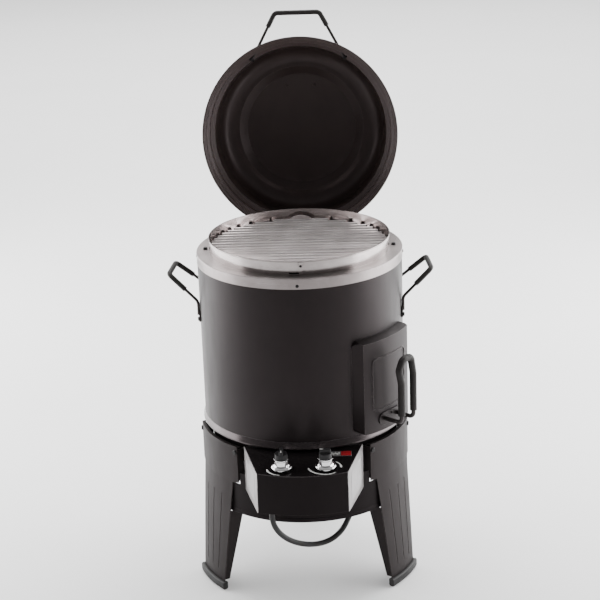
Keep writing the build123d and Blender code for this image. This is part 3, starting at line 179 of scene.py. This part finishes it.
# ---------------------------------------------------------------- materials
PAINT_TINT = (1.0, 0.85, 0.87, 1)    # the slightly warm sheen of the black enamel
MOULDED_GLOSS = 0.22
SLEEVE_GLOSS = 0.16


def paint(name, dark, light, rough, peel, worn_and_highlight, gloss=0.2, edge=0.9 * MM):
    """Sprayed enamel: orange peel, faint clouds of colour and gloss, edges lighter from partly real rubbing
    and partly a painted highlight.
    """
    material, tree, shader = start_material(name, Specular_IOR_Level=gloss)
    shader.inputs["Specular Tint"].default_value = PAINT_TINT
    clouds = noise(tree, place(tree), 9, 4)
    colour = blend_colours(tree, spread(tree, clouds, 0, 1), dark, light)
    grit = noise(tree, place(tree), 420, 2)
    # edges take a lighter colour: part worn paint, part painted highlight along the edges
    rub_and_highlight = add_node(
        tree,
        "ShaderNodeMath",
        {0: edge_wear_and_highlight_mask(tree, 0.8 * MM), 1: spread(tree, grit, 0.2, 1.0)},
        operation="MULTIPLY",
    ).outputs[0]
    tree.links.new(blend_colours(tree, rub_and_highlight, colour, worn_and_highlight), shader.inputs["Base Color"])
    smears = noise(tree, place(tree, (30, 30, 8)), 1, 4, 0.6)
    tree.links.new(spread(tree, smears, rough - 0.05, rough + 0.06), shader.inputs["Roughness"])
    waves = bump(tree, noise(tree, place(tree), 22, 1), 0.12, 0.8 * MM, soft_edges(tree, edge))
    fine = bump(tree, noise(tree, place(tree), 1100, 2), peel, 0.12 * MM, waves)
    tree.links.new(fine, shader.inputs["Normal"])
    return material


def steel(name, dark, light, rough, grain, edge=0.4 * MM, scratches=0.18):
    """Stainless sheet with its rolling grain along x, or round the drum."""
    material, tree, shader = start_material(name, Metallic=1.0)
    if grain == "round":
        fine_place = round_place(tree, 1400, 2.5, 1400)
        broad_place = round_place(tree, 120, 1.2, 120)
    else:
        fine_place = place(tree, (6, 1500, 1500))
        broad_place = place(tree, (2, 130, 130))
    fine = noise(tree, fine_place, 1, 3, 0.6)
    broad = noise(tree, broad_place, 1, 3)
    stains = noise(tree, place(tree), 16, 5, 0.62)
    colour = blend_colours(tree, spread(tree, stains, 0, 1, 0.35, 0.7), light, dark)
    tree.links.new(colour, shader.inputs["Base Color"])
    streaks = add_node(
        tree, "ShaderNodeMath", {0: fine, 1: broad}, operation="ADD"
    ).outputs[0]
    tree.links.new(spread(tree, streaks, rough - 0.07, rough + 0.1, 0.7, 1.3), shader.inputs["Roughness"])
    normal = bump(tree, streaks, scratches, 0.05 * MM, soft_edges(tree, edge))
    tree.links.new(normal, shader.inputs["Normal"])
    return material


def chrome(name):
    """Bright plating with hairline scratches and a few dull fingermarks."""
    material, tree, shader = start_material(name, Metallic=1.0)
    shader.inputs["Base Color"].default_value = (0.66, 0.65, 0.655, 1)
    marks = noise(tree, place(tree), 60, 5, 0.65)
    tree.links.new(spread(tree, marks, 0.05, 0.16, 0.45, 0.75), shader.inputs["Roughness"])
    hairs = noise(tree, place(tree, (900, 90, 900)), 1, 2)
    tree.links.new(bump(tree, hairs, 0.05, 0.03 * MM, soft_edges(tree, 0.5 * MM)), shader.inputs["Normal"])
    return material


def moulded(name, colour, rough, grain_scale, grain_depth, edge=0.7 * MM, sheen=0.0):
    """Moulded plastic or rubber with a fine spark-eroded grain."""
    material, tree, shader = start_material(name, Sheen_Weight=sheen, Specular_IOR_Level=MOULDED_GLOSS)
    grain = noise(tree, place(tree), grain_scale, 3, 0.6)
    clouds = noise(tree, place(tree), 40, 4)
    lighter = tuple(min(1, part * 1.5 + 0.006) for part in colour)
    tree.links.new(
        blend_colours(tree, spread(tree, clouds, 0, 1), colour, lighter), shader.inputs["Base Color"]
    )
    tree.links.new(spread(tree, grain, rough - 0.06, rough + 0.08), shader.inputs["Roughness"])
    normal = bump(tree, grain, 0.35, grain_depth, soft_edges(tree, edge))
    tree.links.new(normal, shader.inputs["Normal"])
    return material


def grip_sleeve(name):
    """A grip's rubbery sleeve with a crossed, diamond-like texture, its grooves darkened as painted shade.
    """
    material, tree, shader = start_material(name, Specular_IOR_Level=SLEEVE_GLOSS)
    grain = noise(tree, place(tree), 900, 3)
    diamonds = add_node(
        tree,
        "ShaderNodeTexVoronoi",
        {"Vector": place(tree), "Scale": 430},
        feature="DISTANCE_TO_EDGE",
    ).outputs["Distance"]
    # painted shade: darker colour in the grooves between the diamonds, lighter on the raised crests
    painted_groove_shade = spread(tree, diamonds, 0, 1, 0.0, 0.15)
    tree.links.new(
        blend_colours(tree, painted_groove_shade, (0.010, 0.0085, 0.008), (0.024, 0.021, 0.020)),
        shader.inputs["Base Color"],
    )
    tree.links.new(spread(tree, grain, 0.42, 0.6), shader.inputs["Roughness"])
    raised = bump(tree, spread(tree, diamonds, 0, 1, 0.0, 0.12), 0.5, 0.25 * MM, soft_edges(tree, 1.2 * MM))
    tree.links.new(bump(tree, grain, 0.2, 0.1 * MM, raised), shader.inputs["Normal"])
    return material


def cast(name, colour, metallic, rough):
    """A sand- or die-cast surface."""
    material, tree, shader = start_material(name, Metallic=metallic)
    lumps = noise(tree, place(tree), 260, 4, 0.6)
    lighter = tuple(min(1, part * 1.35) for part in colour)
    tree.links.new(
        blend_colours(tree, spread(tree, lumps, 0, 1), colour, lighter), shader.inputs["Base Color"]
    )
    tree.links.new(spread(tree, lumps, rough - 0.08, rough + 0.1), shader.inputs["Roughness"])
    tree.links.new(bump(tree, lumps, 0.4, 0.2 * MM, soft_edges(tree, 0.8 * MM)), shader.inputs["Normal"])
    return material


# the fifth value of each enamel is its edge colour: part worn paint, part painted highlight
BODY_PAINT = paint(
    "body_paint", (0.0050, 0.0038, 0.0039), (0.0080, 0.0062, 0.0063),
    0.40, 0.10, (0.30, 0.27, 0.27), 0.22,
)
LID_PAINT = paint(
    "lid_paint", (0.028, 0.0195, 0.0180), (0.038, 0.0275, 0.0255),
    0.36, 0.12, (0.26, 0.23, 0.22), 0.4, 2.2 * MM,
)
TRIM_PAINT = paint(
    "trim_paint", (0.009, 0.0074, 0.0077), (0.014, 0.0116, 0.0120),
    0.22, 0.06, (0.30, 0.28, 0.28), 0.7,
)
LEG_PAINT = paint(
    "leg_paint", (0.0070, 0.0056, 0.0055), (0.0100, 0.0082, 0.0080),
    0.50, 0.35, (0.26, 0.235, 0.23), 0.19,
)
HOOP_PAINT = paint(
    "hoop_paint", (0.0040, 0.0031, 0.0033), (0.0060, 0.0048, 0.0050),
    0.5, 0.3, (0.10, 0.09, 0.09), 0.10,
)
FASCIA_ENAMEL = paint(
    "fascia_enamel", (0.007, 0.0058, 0.0062), (0.010, 0.0085, 0.0090),
    0.22, 0.03, (0.1, 0.1, 0.1), 0.3,
)
WIRE_PAINT = paint(
    "wire_paint", (0.010, 0.0090, 0.0085), (0.016, 0.0145, 0.0140),
    0.42, 0.2, (0.07, 0.065, 0.06), 0.4,
)
RIM_STEEL = steel("rim_steel", (0.23, 0.203, 0.200), (0.31, 0.278, 0.274), 0.33, "round")
COLLAR_STEEL = steel("collar_steel", (0.33, 0.295, 0.290), (0.50, 0.460, 0.450), 0.16, "round")
GRATE_STEEL = steel("grate_steel", (0.60, 0.555, 0.55), (0.80, 0.75, 0.745), 0.3, "x", scratches=0.03)
PLAIN_STEEL = steel("plain_steel", (0.40, 0.38, 0.375), (0.54, 0.52, 0.51), 0.38, "x")
SIDE_STEEL = steel("side_steel", (0.34, 0.32, 0.32), (0.44, 0.42, 0.42), 0.34, "x")
LABEL_FOIL = steel("label_foil", (0.34, 0.328, 0.332), (0.46, 0.447, 0.451), 0.45, "x")
BOLT_STEEL = steel("bolt_steel", (0.30, 0.29, 0.28), (0.42, 0.41, 0.40), 0.32, "x")
CHROME = chrome("chrome")
BLACK_SCREW = moulded("black_screw", (0.006, 0.0055, 0.0055), 0.4, 700, 0.05 * MM)
KNOB_BLACK = moulded("knob_black", (0.010, 0.0095, 0.010), 0.42, 900, 0.08 * MM)
FOOT_BLACK = moulded("foot_black", (0.012, 0.0115, 0.0115), 0.5, 700, 0.12 * MM)
HOSE_RUBBER = moulded("hose_rubber", (0.010, 0.009, 0.009), 0.38, 1200, 0.12 * MM, sheen=0.05)
GRIP_SLEEVE = grip_sleeve("grip_sleeve")
BURNER_IRON = cast("burner_iron", (0.10, 0.09, 0.085), 0.6, 0.6)
VALVE_BRASS = cast("valve_brass", (0.60, 0.44, 0.20), 1.0, 0.35)
ZINC = cast("zinc", (0.42, 0.42, 0.43), 0.9, 0.45)
WHITE_PRINT = moulded("white_print", (0.62, 0.62, 0.60), 0.4, 1500, 0.02 * MM)
RED_PRINT = moulded("red_print", (0.22, 0.006, 0.010), 0.35, 1500, 0.02 * MM)
# painted shade: a near-black finish laid where recesses and gaps only show shadow
PAINTED_RECESS_SHADE = moulded("painted_recess_shade", (0.004, 0.004, 0.004), 0.7, 900, 0.05 * MM)

CAD_MATERIALS = {
    BODY_PAINT: ["outer_shell", "drawer_front", "handle_plate", "hinge_bracket"],
    LID_PAINT: ["lid_shell", "hinge_arm", "lid_badge"],
    TRIM_PAINT: ["trim_ring"],
    LEG_PAINT: ["leg_left", "leg_right", "leg_rear"],
    HOOP_PAINT: ["lower_hoop", "regulator_shelf", "tray_rails", "control_box", "burner_housing"],
    FASCIA_ENAMEL: ["fascia"],
    WIRE_PAINT: ["side_handle_left", "side_handle_right", "lid_handle", "drawer_handle"],
    RIM_STEEL: ["rim_ring", "cooking_chamber"],
    COLLAR_STEEL: ["collar"],
    GRATE_STEEL: ["cooking_grate"],
    PLAIN_STEEL: ["heat_shield", "grease_tray", "chip_box", "drawer_guide"],
    SIDE_STEEL: ["box_side_left", "box_side_right"],
    LABEL_FOIL: ["label_plates"],
    BLACK_SCREW: ["rim_screws", "side_bolts", "frame_bolts", "lid_fasteners"],
    BOLT_STEEL: ["hinge_pin", "hose_clips", "gas_stem", "igniter_stem"],
    CHROME: ["gas_knob_skirt", "igniter_knob_skirt"],
    KNOB_BLACK: ["gas_knob_cap", "igniter_knob_cap", "igniter", "coupling_nut"],
    FOOT_BLACK: ["foot_left", "foot_right", "foot_rear"],
    GRIP_SLEEVE: ["side_grip_left", "side_grip_right", "lid_grip", "drawer_grip"],
    BURNER_IRON: ["burner", "burner_posts"],
    VALVE_BRASS: ["gas_valve", "gas_inlet", "valve_collar"],
    ZINC: ["regulator"],
    HOSE_RUBBER: ["gas_hose"],
}

for material, names in CAD_MATERIALS.items():
    for name in names:
        nodes[name].data.materials.clear()
        nodes[name].data.materials.append(material)


# ---------------------------------------------------------------- gas hose
HOSE_DIAMETER = 12 * MM
HOSE_ROUTE_MM = [
    (-68, -281, 251),
    (-68, -281, 232),
    (-65, -278.5, 213.5),
    (-58, -272.5, 196),
    (-46.5, -264, 178),
    (-29, -254, 161),
    (-6.5, -243, 148),
    (18, -232.5, 141),
    (41, -222.5, 140.5),
    (61.5, -213.5, 147),
    (78.5, -205, 160.5),
    (90, -197, 179),
    (100.5, -187.5, 200),
    (113.5, -174.5, 218),
    (130.5, -158, 232),
    (150.5, -138, 240),
    (169, -114.5, 241),
    (184, -89, 237),
    (192, -63, 231.5),
    (192.5, -37, 231.5),
]


def make_hose():
    data = bpy.data.curves.new("hose", "CURVE")
    data.dimensions = "3D"
    data.bevel_depth = HOSE_DIAMETER / 2
    data.bevel_resolution = 6
    data.use_fill_caps = True
    spline = data.splines.new("NURBS")
    spline.points.add(len(HOSE_ROUTE_MM) - 1)
    for point, place_mm in zip(spline.points, HOSE_ROUTE_MM):
        point.co = (*(Vector(place_mm) * MM), 1)
    spline.order_u = 3
    spline.use_endpoint_u = True
    spline.resolution_u = 10
    hose = bpy.data.objects.new("hose", data)
    bpy.context.scene.collection.objects.link(hose)
    data.materials.append(HOSE_RUBBER)
    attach(hose, "base")
    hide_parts("gas_hose")


make_hose()


# ---------------------------------------------------------------- small added pieces
def add_piece(name, vertices, faces, material, body):
    """A mesh piece that rides a body and takes the given material."""
    mesh = bpy.data.meshes.new(name)
    mesh.from_pydata([tuple(vertex) for vertex in vertices], [], faces)
    mesh.validate()
    mesh.materials.append(material)
    piece = bpy.data.objects.new(name, mesh)
    bpy.context.scene.collection.objects.link(piece)
    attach(piece, body)
    return piece


class Solid:
    """Vertices and faces gathered from several closed strips and plates."""

    def __init__(self):
        self.vertices = []
        self.faces = []

    def prism(self, outline, lift):
        """A closed prism: an outline of points, raised by the lift vector."""
        first = len(self.vertices)
        count = len(outline)
        self.vertices += [Vector(point) for point in outline]
        self.vertices += [Vector(point) + lift for point in outline]
        self.faces.append([first + index for index in reversed(range(count))])
        self.faces.append([first + count + index for index in range(count)])
        for index in range(count):
            after = (index + 1) % count
            self.faces.append(
                [first + index, first + after, first + count + after, first + count + index]
            )

    def strip(self, inner, outer, lift):
        """A closed flat strip between two lines of points, raised by the lift vector."""
        first = len(self.vertices)
        count = len(inner)
        for line in (inner, outer):
            self.vertices += [Vector(point) for point in line]
            self.vertices += [Vector(point) + lift for point in line]
        low_in, top_in, low_out, top_out = (first + count * row for row in range(4))
        for index in range(count - 1):
            after = index + 1
            self.faces.append([top_in + index, top_in + after, top_out + after, top_out + index])
            self.faces.append([low_out + index, low_out + after, low_in + after, low_in + index])
            self.faces.append([low_in + index, low_in + after, top_in + after, top_in + index])
            self.faces.append([top_out + index, top_out + after, low_out + after, low_out + index])
        self.faces.append([low_in, top_in, top_out, low_out])
        last = count - 1
        self.faces.append([low_out + last, top_out + last, top_in + last, low_in + last])


FASCIA_UP = Vector(joints["igniter_turn"]["axis"])
FASCIA_BACK = FASCIA_UP.cross(Vector((1, 0, 0)))
GAS_KNOB = Vector(joints["gas_knob_turn"]["pos_m"])
IGNITER_KNOB = Vector(joints["igniter_turn"]["pos_m"])
PRINT_LIFT = 0.05 * MM
PRINT_THICKNESS = 0.25 * MM


def on_fascia(centre, across, back, lift=0.0):
    """A point on the control fascia, from a knob's centre."""
    return centre + Vector((1, 0, 0)) * across + FASCIA_BACK * back + FASCIA_UP * lift


def add_arc(solid, centre, start, end, across_start, across_end, back, width_start, width_end):
    """A printed dial arc, wider across than back, that narrows to its end. Degrees from +X."""
    steps = 40
    inner = []
    outer = []
    for step in range(steps + 1):
        share = step / steps
        angle = radians(start + (end - start) * share)
        across = across_start + (across_end - across_start) * share
        half = (width_start + (width_end - width_start) * share) / 2
        half = half * min(1, 0.35 + 6 * share)
        for line, grow in ((inner, -half), (outer, half)):
            x = (across + grow) * cos(angle)
            line.append(on_fascia(centre, x, (back + grow) * sin(angle), PRINT_LIFT))
    if end < start:
        inner, outer = outer, inner
    solid.strip(inner, outer, FASCIA_UP * PRINT_THICKNESS)


def make_dial_arcs():
    solid = Solid()
    add_arc(solid, GAS_KNOB, 184, 262, 31 * MM, 31 * MM, 26 * MM, 4.6 * MM, 1.2 * MM)
    add_arc(solid, IGNITER_KNOB, 178, 318, 36 * MM, 28 * MM, 26 * MM, 4.8 * MM, 0.8 * MM)
    add_arc(solid, IGNITER_KNOB, 2, 52, 32 * MM, 34 * MM, 31 * MM, 4.6 * MM, 1.0 * MM)
    add_piece("dial_arcs", solid.vertices, solid.faces, WHITE_PRINT, "base")


def fascia_plate(name, left, right, front, back, lift, material):
    """A thin plate on the fascia, given in metres from the igniter knob's centre."""
    solid = Solid()
    corner = 1.2 * MM
    outline = []
    for x, y, turn in (
        (right - corner, front + corner, -90),
        (right - corner, back - corner, 0),
        (left + corner, back - corner, 90),
        (left + corner, front + corner, 180),
    ):
        for step in range(5):
            angle = radians(turn + step * 22.5)
            outline.append(
                on_fascia(IGNITER_KNOB, x + corner * cos(angle), y + corner * sin(angle), lift)
            )
    solid.prism(outline, FASCIA_UP * 0.4 * MM)
    return add_piece(name, solid.vertices, solid.faces, material, "base")


def badge_silver(lift):
    """The silver wave beside the red badge, standing in for what was lettered there."""
    solid = Solid()
    steps = 48
    lower = []
    upper = []
    for step in range(steps + 1):
        share = step / steps
        x = (11 + 18.5 * share) * MM
        back = (57 + 2.6 * sin(share * 5 * pi)) * MM
        half = (2.2 + 1.0 * sin(share * 9 * pi)) * MM
        lower.append(on_fascia(IGNITER_KNOB, x, back - half, lift))
        upper.append(on_fascia(IGNITER_KNOB, x, back + half, lift))
    solid.strip(lower, upper, FASCIA_UP * 0.4 * MM)
    add_piece("badge_silver", solid.vertices, solid.faces, WHITE_PRINT, "base")


def make_badge():
    lift = 0.6 * MM
    badge_silver(lift)
    fascia_plate("badge_red", 32 * MM, 53.5 * MM, 48.5 * MM, 66.5 * MM, lift, RED_PRINT)


make_dial_arcs()
make_badge()


def make_pointer(name, centre, turn, body):
    """A white line let into the top of a knob's ridge."""
    top = 45.2 * MM
    along = Vector((cos(turn), sin(turn)))
    side = Vector((-along.y, along.x)) * 0.8 * MM
    solid = Solid()
    outline = []
    for reach, sign in ((4, 1), (11.5, 1), (11.5, -1), (4, -1)):
        flat = along * reach * MM - side * sign
        outline.append(on_fascia(centre, flat.x, flat.y, top))
    solid.prism(outline, FASCIA_UP * 0.25 * MM)
    add_piece(name, solid.vertices, solid.faces, WHITE_PRINT, body)


make_pointer("gas_pointer", GAS_KNOB, radians(-90), "gas_knob")
make_pointer("igniter_pointer", IGNITER_KNOB, radians(180), "igniter_knob")


BAND_SCREW_DROP = 15 * MM    # the band's screws, below the rim's top


def cross_recess_shade(solid, centre, normal, size):
    """A painted shade: a dark cross standing in for the shaded recess in a screw's head."""
    across = normal.cross(Vector((0, 0, 1)))
    if across.length < 0.1:
        across = Vector((1, 0, 0))
    across.normalize()
    over = normal.cross(across)
    thin = size * 0.22
    outline = []
    for quarter in range(4):
        turn = quarter * pi / 2
        forward = across * cos(turn) + over * sin(turn)
        left = over * cos(turn) - across * sin(turn)
        outline.append(centre + forward * size - left * thin)
        outline.append(centre + forward * size + left * thin)
        outline.append(centre + forward * thin + left * thin)
    solid.prism(outline, normal * 0.2 * MM)


def round_point(radius, azimuth, height):
    """A point at this radius, azimuth from the front and height, in metres and degrees."""
    turn = radians(azimuth)
    return Vector((radius * sin(turn), -radius * cos(turn), height))


def make_notch_shadow():
    """A painted shadow: a dark strip standing in for the shaded gap that shows through the notch at the
    foot of the collar.
    """
    solid = Solid()
    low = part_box("collar")[0][2] + 1.3 * MM
    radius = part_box("collar")[1][0] - 2.3 * MM
    line = [round_point(radius, -5.2 + 0.6 * step, low) for step in range(15)]
    inner = [point - round_point(0.3 * MM, 0, 0) for point in line]
    solid.strip(inner, line, Vector((0, 0, 4.4 * MM)))
    add_piece("notch_shadow", solid.vertices, solid.faces, PAINTED_RECESS_SHADE, "base")


def make_screw_recess_shades():
    """Painted shade in the crosses of the four screws of the rim's band."""
    solid = Solid()
    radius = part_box("rim_screws")[1][0] - 0.1 * MM
    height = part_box("rim_ring")[1][2] - BAND_SCREW_DROP
    for azimuth in (0, 90, 180, 270):
        centre = round_point(radius, azimuth, height)
        cross_recess_shade(solid, centre, round_point(1, azimuth, 0), 1.7 * MM)
    add_piece("screw_recess_shades", solid.vertices, solid.faces, PAINTED_RECESS_SHADE, "base")


make_notch_shadow()
make_screw_recess_shades()


# ---------------------------------------------------------------- floor and light
def make_floor():
    """A plain pale floor."""
    material, tree, shader = start_material("floor_paper", Roughness=0.9)
    clouds = noise(tree, place(tree), 1.5, 3)
    tree.links.new(
        blend_colours(tree, spread(tree, clouds, 0, 1), (0.86, 0.86, 0.86), (0.88, 0.88, 0.88)),
        shader.inputs["Base Color"],
    )
    half = 20.0
    mesh = bpy.data.meshes.new("floor")
    corners = [(-half, -half, 0), (half, -half, 0), (half, half, 0), (-half, half, 0)]
    mesh.from_pydata(corners, [], [(0, 1, 2, 3)])
    mesh.materials.append(material)
    floor = bpy.data.objects.new("floor", mesh)
    bpy.context.scene.collection.objects.link(floor)


def add_light(name, place_at, aim, width, height, power):
    """A rectangular lamp that the camera doesn't see."""
    data = bpy.data.lights.new(name, "AREA")
    data.shape = "RECTANGLE"
    data.size = width
    data.size_y = height
    data.energy = power
    light = bpy.data.objects.new(name, data)
    light.location = place_at
    light.rotation_euler = (Vector(aim) - Vector(place_at)).to_track_quat("-Z", "Y").to_euler()
    light.visible_camera = False
    bpy.context.scene.collection.objects.link(light)


def make_light():
    """A soft studio: a sky brighter behind the object, two side boxes, and two from above."""
    world = bpy.data.worlds.new("studio")
    world.use_nodes = True
    tree = world.node_tree
    direction = add_node(tree, "ShaderNodeTexCoord").outputs["Generated"]
    parts = add_node(tree, "ShaderNodeSeparateXYZ", {0: direction})
    strength = spread(tree, parts.outputs["Y"], 0.2, 0.95, -0.8, 0.8)
    tree.links.new(strength, tree.nodes["Background"].inputs["Strength"])
    tree.nodes["Background"].inputs["Color"].default_value = (1, 1, 1, 1)
    bpy.context.scene.world = world
    add_light("left_box", (-2.3, 0.75, 0.9), (0, 0.1, 0.5), 3.2, 1.8, 115)
    add_light("right_box", (2.3, 0.6, 0.9), (0, 0, 0.5), 3.3, 1.8, 145)
    add_light("back_box", (0, 4.8, 4.6), (0, 4.6, 0), 9, 7, 900)
    add_light("top_box", (0, 0.9, 3.4), (0, 0.5, 0), 2.6, 2.0, 60)


make_floor()
make_light()
